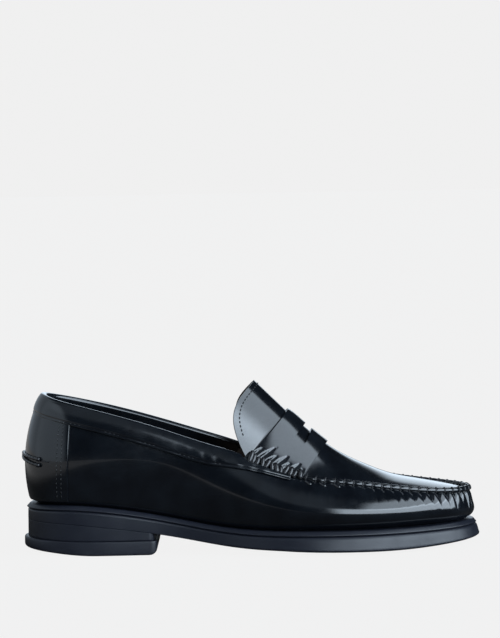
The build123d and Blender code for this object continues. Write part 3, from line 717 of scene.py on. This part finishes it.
def tongue_top(v):
    """The tongue's rounded upper edge, as u."""
    return np.abs(v) ** (4 * ARCH_POWER) - 1


v = np.sin(np.linspace(-np.pi / 2, np.pi / 2, 180))
skin("tongue_flap", arch_across, v, span(tongue_top(v), 0.03 + 0 * v, 50), 0.0, UPPER, "upper_leather",
     "tongue")
v = np.linspace(-0.955, 0.955, 140)
skin("tongue_backing", arch_across, v, span(0.985 * tongue_top(v / 0.985), 0.026 + 0 * v, 40),
     UPPER + 0.05, LINING, "lining_leather", "tongue_lining", bevel=0.2)

# Saddle strap: a front and a rear strip that join at both ends of the slot.
slot_front = graph([(-x, y) for x, y in SLOT_FRONT[:0:-1]] + SLOT_FRONT)
v = np.sort(np.concatenate([np.linspace(-1.03, 1.03, 210), [-SLOT_SIDE, SLOT_SIDE]]))
inside = np.abs(v) <= SLOT_SIDE
rear = np.where(inside, SLOT_REAR + 0.004 * (np.abs(v) / SLOT_SIDE) ** 6, STRIP_MEET)
front = np.where(inside, np.maximum(slot_front(np.clip(np.abs(v), 0, SLOT_SIDE)), rear), STRIP_MEET)


def strap_bow(v, u):
    """The strap is a little full between its edges, and its ends sink where they are whipped down."""
    f = u / STRAP_END
    full = 0.35 * (1 - (2 * f - 1) ** 4) * (1 - ease(np.abs(v), 0.85, 0.98))
    dimples = 0
    for at, reach in FOLDS:
        up = np.clip((0.96 - np.abs(v)) / reach, 0, 1)
        leaf = np.exp(-((u - at - 0.11 * reach * up) / (0.0085 * (1.04 - up))) ** 2)
        dimples = dimples + leaf * (1 - up) ** 0.6
    return full - dimples - 0.4 * ease(np.abs(v), 0.96, 1.03)


shapes = []
for low, high in ((0 * v - 0.002, rear), (front, STRAP_END + 0 * v)):
    b = span(low, high, 22)
    a = v[:, None] + 0 * b
    level = -2 * GLUE - STRAP - strap_bow(a, b)
    shapes.append((sunk(arch_across, a, b, level).reshape(-1, 3), grid_faces(*a.shape)))
strap = piece("penny_strap", *gather(shapes), "upper_leather", "saddle_strap")
mend(strap, 0.02)
thicken(strap, STRAP, bevel=0.55)


# ---- Seams, thread and lace -------------------------------------------------------------------------------
s = np.linspace(seam_start, 1 - seam_start, 1100)
phase = stitch_phase(s)
pinch = np.abs(np.sin(np.pi * phase)) ** 0.6
turn = np.linspace(-0.9, np.pi + 0.7, 26)


def roll_point(s, turn, radius):
    """Points of the ridge that stands on the seam, a little taller than round."""
    spoke = np.cos(turn)[..., None] * outward(top_edge, s) + np.sin(turn)[..., None] * 1.15 * UP
    return top_edge(s) + radius[..., None] * spoke


taper = both_ends(phase, -0.2, stitch_count + 0.2, 2.2)
radius = (0.55 + 0.45 * taper) * SEAM_ROLL * (0.84 + 0.2 * pinch)
grid_s, grid_turn = np.meshgrid(s, turn, indexing="ij")
points = roll_point(grid_s, grid_turn, radius[:, None] + 0 * grid_turn)
ridge = piece("apron_seam_ridge", points.reshape(-1, 3), grid_faces(*grid_s.shape), "upper_leather",
              "apron_seam_roll")
thicken(ridge, 0.9, bevel=0.2)

# Hand stitches wrap the ridge, each leaning forward a little.
shapes = []
turns = np.linspace(-0.55, np.pi + 0.35, 15)
lean = 0.0022 * (turns / np.pi - 0.5)
for i in range(1, stitch_count):
    here = np.interp(i * pitch, arc, ring)
    centres = roll_point(here + lean, turns, 0.93 * SEAM_ROLL + 0 * turns)
    shapes.append(tube(centres, STITCH_RADIUS + 0 * turns, 8, up=top_edge(here + 1e-3) - top_edge(here)))
piece("apron_hand_stitches", *gather(shapes), "thread", "apron_seam_thread")

# Fat whip stitches over both ends of the strap, uneven as hand work is.
for side, name, node in ((-1, "strap_whip_lateral", "strap_whipstitch_lateral"),
                         (1, "strap_whip_medial", "strap_whipstitch_medial")):
    shapes = []
    for u in np.linspace(0.008, 0.184, WHIP_STITCHES):
        lean, climb = rng.uniform(0.003, 0.016), rng.uniform(0.925, 0.965)
        across, depth = np.array([climb, 1.05]), np.array([-STRAP + 0.1, -STRAP - 0.3])
        ends = sunk(arch, np.array([u - lean, u + lean]), side * across, depth)
        out = normal(arch, np.array([u]), np.array([side * 0.98]))[0]
        shapes.append(capsule(ends[0], ends[1], rng.uniform(1.3, 1.75), out, sag=1.1, steps=13, sides=12))
    piece(name, *gather(shapes), "lace_cord", node)

# Three short tucks below the seam in front of the strap's ends.
for side, name in ((-1, "seam_tucks_lateral"), (1, "seam_tucks_medial")):
    shapes = []
    for k in range(3):
        here = seam_start + 0.006 + 0.0125 * k
        here, ahead = (here, 0.0055) if side < 0 else (1 - here, -0.0055)
        rate = speed(wall, np.array([here]), np.array([1.0]))[0]
        below = np.array([2.2, 6.4])
        ends = sunk(wall, np.array([here, here + ahead]), 1 - below / rate, np.array([0.1, 0.35]))
        out = normal(wall, np.array([here]), np.array([0.95]))[0]
        shapes.append(capsule(ends[0], ends[1], 1.15, out, 0.2, 11, 12))
    piece(name, *gather(shapes), "upper_leather")

# Machine stitching.
end = COLLAR_END - 0.012
row = lambda q: (end * (2 * q - 1), collar_low(end * (2 * q - 1)) + 1.6)
shapes = seam(collar_fold, row, COLLAR_PITCH, -0.2, 2.1, 0.3)
piece("collar_stitches", *gather(shapes), "thread", "collar_stitching")
shapes = []
for side in (-1, 1):
    for back in (0.0068, 0.0118):
        row = lambda q: (side * (HEEL_COVER_END - back) + 0 * q, -0.02 + 0.86 * q)
        shapes += seam(wall, row, FINE_PITCH, TOP_OF_OVERLAY + 0.05, 1.9, 0.27)
piece("foxing_stitches", *gather(shapes), "thread", "heel_cover_stitching")
row = lambda q: (1.78 * q - 0.89, 0.89 * tongue_top((1.78 * q - 0.89) / 0.945))
shapes = seam(arch_across, row, FINE_PITCH, 0.12, 1.9, 0.4)
piece("tongue_stitches", *gather(shapes), "thread", "tongue_stitching")

# Two laced cords across the back, each ending in a knot, with a short tail stitch in front of the knots.
shapes = []
for back_t, end_t in CORDS:
    s = np.linspace(-CORD_END, CORD_END, 61)
    t = back_t + (end_t - back_t) * (np.abs(s) / CORD_END) ** 0.8
    centres = sunk(wall, s, t, -TOP_OF_OVERLAY - CORD_RADIUS + 0 * s)
    shapes.append(tube(centres, CORD_RADIUS + 0.12 * np.sin(s * 1100), 12))
    for side in (-1, 1):
        knot = np.array([side * 0.047, side * 0.052])
        ends = sunk(wall, knot, np.array([end_t + 0.004, end_t - 0.006]), np.array([-2.1, -1.8]))
        shapes.append(capsule(ends[0], ends[1], 1.4, normal(wall, knot[:1], np.array([0.5]))[0], 0.3, 9, 12))
for side in (-1, 1):
    tail = np.array([side * 0.052, side * 0.066])
    ends = sunk(wall, tail, np.array([0.385, 0.382]), np.array([-1.4, -1.15]))
    shapes.append(capsule(ends[0], ends[1], 0.4, normal(wall, tail[:1], np.array([0.5]))[0], 0.15, 9, 8))
piece("back_lacing", *gather(shapes), "lace_cord", "back_tab_cords")


# ---- Sole -------------------------------------------------------------------------------------------------
def resample(points, count):
    """Evenly spaced points of a closed polygon."""
    loop = np.concatenate([points, points[:1]])
    run = np.concatenate([[0], np.cumsum(np.linalg.norm(np.diff(loop, axis=0), axis=1))])
    at = np.arange(count) / count * run[-1]
    return np.stack([np.interp(at, run, loop[:, k]) for k in range(2)], -1)


def inward(plan):
    """Unit vectors into a closed polygon, at each of its points."""
    step = np.roll(plan, -1, 0) - np.roll(plan, 1, 0)
    return unit(np.stack([-step[:, 1], step[:, 0]], -1))


def plate(name, plan, levels, slot, *nodes):
    """A body with an outline in plan.  Each level is how far its edge stands inside the outline, a number or
    a function of x, and its height as a function of x and y.  The first and last levels are closed by caps
    that span the outline side to side, in as many strips as fill says."""
    n, fill = len(plan), 24
    toward = inward(plan)
    rings = []
    for inset, height in levels:
        depth = inset(plan[:, 0]) if callable(inset) else inset + 0 * plan[:, 0]
        xy = plan + toward * depth[:, None]
        rings.append(np.column_stack([xy, height(xy[:, 0], xy[:, 1])]))
    points = list(rings)
    faces = []
    for i in range(len(rings) - 1):
        for j in range(n):
            k = (j + 1) % n
            faces.append((i * n + j, i * n + k, (i + 1) * n + k, (i + 1) * n + j))
    start = len(rings) * n
    half = n // 2
    for index in (0, len(rings) - 1):
        ring_points, height = rings[index], levels[index][1]
        ids = np.zeros((half + 1, fill + 1), int)
        for j in range(half + 1):
            left, right = ring_points[j], ring_points[(n - j) % n]
            ids[j, 0], ids[j, -1] = index * n + j, index * n + (n - j) % n
            if j in (0, half):
                ids[j, :] = ids[j, 0]
                continue
            f = np.linspace(0, 1, fill + 1)[1:-1, None]
            xy = left[:2] * (1 - f) + right[:2] * f
            ids[j, 1:-1] = start + np.arange(fill - 1)
            points.append(np.column_stack([xy, height(xy[:, 0], xy[:, 1])]))
            start += fill - 1
        for j in range(half):
            for k in range(fill):
                face = [ids[j, k], ids[j, k + 1], ids[j + 1, k + 1], ids[j + 1, k]]
                face = list(dict.fromkeys(int(i) for i in face))
                if len(face) > 2:
                    faces.append(face[::-1] if index else face)
    body = piece(name, np.concatenate(points), faces, slot, *nodes)
    mend(body)


def above(height):
    """A height over the seat."""
    return lambda x, y: seat_z(x) + height


def underside(x, y):
    """Ground side of the outsole: flat along the middle of the forepart and crowned across it."""
    return sole_z(x) + SOLE_CROWN * ease(x, 120, 170) * (y / 50) ** 2


def between(low, high):
    """An inset that is low at the heel and high over the forepart."""
    return lambda x: low + (high - low) * ease(x, 95, 190)


def deep(f, rise=0.0):
    """A height a share f of the way down from the midsole to the ground side."""
    return lambda x, y: (1 - f) * (seat_z(x) - MIDSOLE) + f * underside(x, y) + rise


plan = resample(outline(np.linspace(0, 1, 2400, endpoint=False))[:, :2], 560)
plate("midsole_rand", plan, [
    (6.0, above(-0.05)), (between(4.6, 4.3), above(-0.1)), (between(4.1, 3.9), above(-0.35)),
    (between(2.4, 2.5), above(-2.0)), (between(2.0, 2.1), above(-2.5)), (3.1, above(-3.36)),
    (6.0, above(-3.38)),
], "sole_rubber", "midsole")
plate("outsole_unit", plan, [
    (6.0, deep(0)), (between(3.5, 3.1), deep(0, -0.01)), (between(2.75, 2.0), deep(0, -0.7)),
    (between(2.7, 1.6), deep(0.2)), (between(2.65, 1.0), deep(0.45)), (between(2.6, 0.45), deep(0.75)),
    (between(2.6, 0.15), deep(1, 1.3)), (between(2.6, 0.3), deep(1, 0.5)),
    (between(2.6, 0.95), deep(1, 0.08)), (between(6.0, 4.0), deep(1)),
], "sole_rubber", "outsole")


def heel_outline(breast):
    """The sole's outline cut straight across at the heel's breast, with rounded corners."""
    near = outline(np.linspace(-0.5, 0.5, 4000))[:, :2]
    near = near[near[:, 0] < breast]
    from_front = np.clip(near[:, 0] - (breast - HEEL_CORNER), 0, HEEL_CORNER)
    drop = HEEL_CORNER - np.sqrt(HEEL_CORNER**2 - from_front**2)
    near[:, 1] -= np.sign(near[:, 1]) * drop
    lateral, medial = near[near[:, 1] < 0], near[near[:, 1] >= 0]
    lateral, medial = lateral[np.argsort(lateral[:, 0])], medial[np.argsort(-medial[:, 0])]
    return np.concatenate([lateral, medial])


def heel_ring(breast):
    """Paired points down both sides of the heel, so that its caps span it straight across."""
    loop = resample(heel_outline(breast), 360)
    return np.roll(loop, -int(np.argmin(loop[:, 0])), 0)


def under(drop):
    """A height below the outsole."""
    return lambda x, y: sole_z(x) - drop


def ledge(rise):
    """A height over the top of the top piece, which rises towards the back."""
    return lambda x, y: TOP_PIECE + rise + HEEL_LEDGE_RISE * (1 - ease(x, -14, 48))


def flare(back, side):
    """An inset that differs between the back of the heel and its sides."""
    return lambda x: back + (side - back) * ease(x, 4, 26)


def ground(rise):
    """The top piece's underside: its back edge is bevelled up, and its front edge is rounded."""
    def height(x, y):
        nose = np.clip((x - (BREAST - 7.6)) / 5.2, 0, 1)
        return rise + HEEL_BACK_LIFT * (1 - ease(x, -14, 48)) + 4.2 * (1 - np.sqrt(1 - nose**2))
    return height


plan = heel_ring(BREAST - 1.5)
plate("heel_stack", plan, [
    (6.0, under(0.02)), (2.6, under(0.03)), (2.6, under(0.3)), (2.5, ledge(1.2)),
    (2.5, ledge(0.05)), (6.0, ledge(0.04)),
], "heel_stack", "heel_block")

plan = heel_ring(BREAST)
plate("heel_tap", plan, [
    (4.0, ledge(0)), (flare(0.95, 2.5), ledge(-0.01)), (flare(0.4, 2.45), ledge(-0.3)),
    (flare(0.1, 2.35), ledge(-1.1)), (flare(0.1, 2.25), ground(1.6)), (flare(0.3, 2.3), ground(0.7)),
    (flare(0.9, 2.6), ground(0.15)), (3.8, ground(0.0)),
], "top_piece_rubber", "heel_top_piece")
plan = resample(feather(np.linspace(0, 1, 2400, endpoint=False)), 360)
SOCK_REST = LINING_DEPTH + LINING + 0.35 + 2.0 + GLUE       # underside of the sock over the seat
plate("sock", plan, [
    (8.0, above(SOCK_REST + SOCK_THICK)), (5.1, above(SOCK_REST + 1.0)), (4.6, above(SOCK_REST + 0.75)),
    (4.6, above(SOCK_REST + 0.2)), (5.0, above(SOCK_REST)), (8.0, above(SOCK_REST)),
], "lining_leather", "sock_liner")


# ---- Studio -----------------------------------------------------------------------------------------------
def floor():
    """Pale paper that runs to the horizon.  What the shoe mirrors of it is dimmer than what the eye sees, as
    on a shoe photographed under flags."""
    mesh = bpy.data.meshes.new("studio_floor")
    corners = [(x * FLOOR_REACH, y * FLOOR_REACH, 0.0) for x, y in ((-1, -1), (1, -1), (1, 1), (-1, 1))]
    mesh.from_pydata(corners, [], [(0, 1, 2, 3)])
    ground = bpy.data.objects.new("studio_floor", mesh)
    bpy.context.scene.collection.objects.link(ground)
    mat = material("pale_floor", (0.015, 0.015, 0.015), 0.9, specular=0.0)
    nodes, links = mat.node_tree.nodes, mat.node_tree.links
    path, level = nodes.new("ShaderNodeLightPath"), nodes.new("ShaderNodeMapRange")
    spot, axes = nodes.new("ShaderNodeNewGeometry"), nodes.new("ShaderNodeSeparateXYZ")
    left = nodes.new("ShaderNodeMapRange")
    left.interpolation_type = "SMOOTHSTEP"
    edge = {"From Min": -0.3, "From Max": -0.5, "To Min": FLOOR_MIRRORED, "To Max": LEFT_FLOOR}
    for socket, value in edge.items():
        left.inputs[socket].default_value = value
    links.new(spot.outputs["Position"], axes.inputs[0])
    links.new(axes.outputs["X"], left.inputs["Value"])
    links.new(left.outputs["Result"], level.inputs["To Min"])
    level.inputs["To Max"].default_value = FLOOR_SEEN
    links.new(path.outputs["Is Camera Ray"], level.inputs["Value"])
    shader = nodes["Principled BSDF"]
    shader.inputs["Emission Color"].default_value = (1, 1, 1, 1)
    links.new(level.outputs["Result"], shader.inputs["Emission Strength"])
    mesh.materials.append(mat)
    ground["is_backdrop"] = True


def softbox(name, at, aim, size, power):
    """A soft lamp that lights the shoe without showing in its shine."""
    light = bpy.data.lights.new(name, "AREA")
    light.shape, light.size, light.size_y = "RECTANGLE", size[0], size[1]
    light.energy = power
    holder = bpy.data.objects.new(name, light)
    holder.location = at
    holder.rotation_euler = (Vector(aim) - Vector(at)).to_track_quat("-Z", "Y").to_euler()
    holder.visible_glossy = False
    bpy.context.scene.collection.objects.link(holder)


def world():
    """A dark room with a few large soft sources, and pale paper for the eye."""
    scene_world = bpy.data.worlds.new("studio")
    bpy.context.scene.world = scene_world
    scene_world.use_nodes = True
    nodes, links = scene_world.node_tree.nodes, scene_world.node_tree.links

    def math(operation, first, second):
        node = nodes.new("ShaderNodeMath")
        node.operation = operation
        for value, socket in ((first, node.inputs[0]), (second, node.inputs[1])):
            if isinstance(value, float):
                socket.default_value = value
            else:
                links.new(value, socket)
        return node.outputs[0]

    where, split = nodes.new("ShaderNodeTexCoord"), nodes.new("ShaderNodeSeparateXYZ")
    links.new(where.outputs["Generated"], split.inputs[0])
    total = ROOM_LEVEL
    for strength, limits in SOURCES:
        share = strength
        for axis, start, full in limits:
            fade = nodes.new("ShaderNodeMapRange")
            fade.interpolation_type = "SMOOTHSTEP"
            fade.inputs["From Min"].default_value = start
            fade.inputs["From Max"].default_value = full
            links.new(split.outputs[axis], fade.inputs["Value"])
            share = math("MULTIPLY", fade.outputs["Result"], share)
        total = math("ADD", share, total)
    room, paper = nodes["Background"], nodes.new("ShaderNodeBackground")
    room.inputs["Color"].default_value = ROOM_TINT
    links.new(total, room.inputs["Strength"])
    paper.inputs["Color"].default_value = PAPER
    mix, path = nodes.new("ShaderNodeMixShader"), nodes.new("ShaderNodeLightPath")
    links.new(path.outputs["Is Camera Ray"], mix.inputs["Fac"])
    links.new(room.outputs[0], mix.inputs[1])
    links.new(paper.outputs[0], mix.inputs[2])
    links.new(mix.outputs[0], nodes["World Output"].inputs["Surface"])


def camera():
    """Level with the shoe's upper from a long way off, leaning a degree to one side."""
    lens = bpy.data.cameras.new("camera")
    lens.lens, lens.sensor_width, lens.sensor_fit = LENS, 36 * 500 / 638, "HORIZONTAL"
    eye = bpy.data.objects.new("camera", lens)
    eye.matrix_world = (
        Matrix.Translation(EYE)
        @ Matrix.Rotation(np.pi / 2 + np.radians(PITCH), 4, "X")
        @ Matrix.Rotation(np.radians(LEAN), 4, "Z")
    )
    bpy.context.scene.collection.objects.link(eye)
    bpy.context.scene.camera = eye


floor()
world()
softbox("overhead", (-0.1, -0.35, 1.3), (0.0, 0.0, 0.04), (0.9, 0.35), 2.5)
bpy.context.scene.view_settings.view_transform = "Standard"
camera()

low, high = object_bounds()
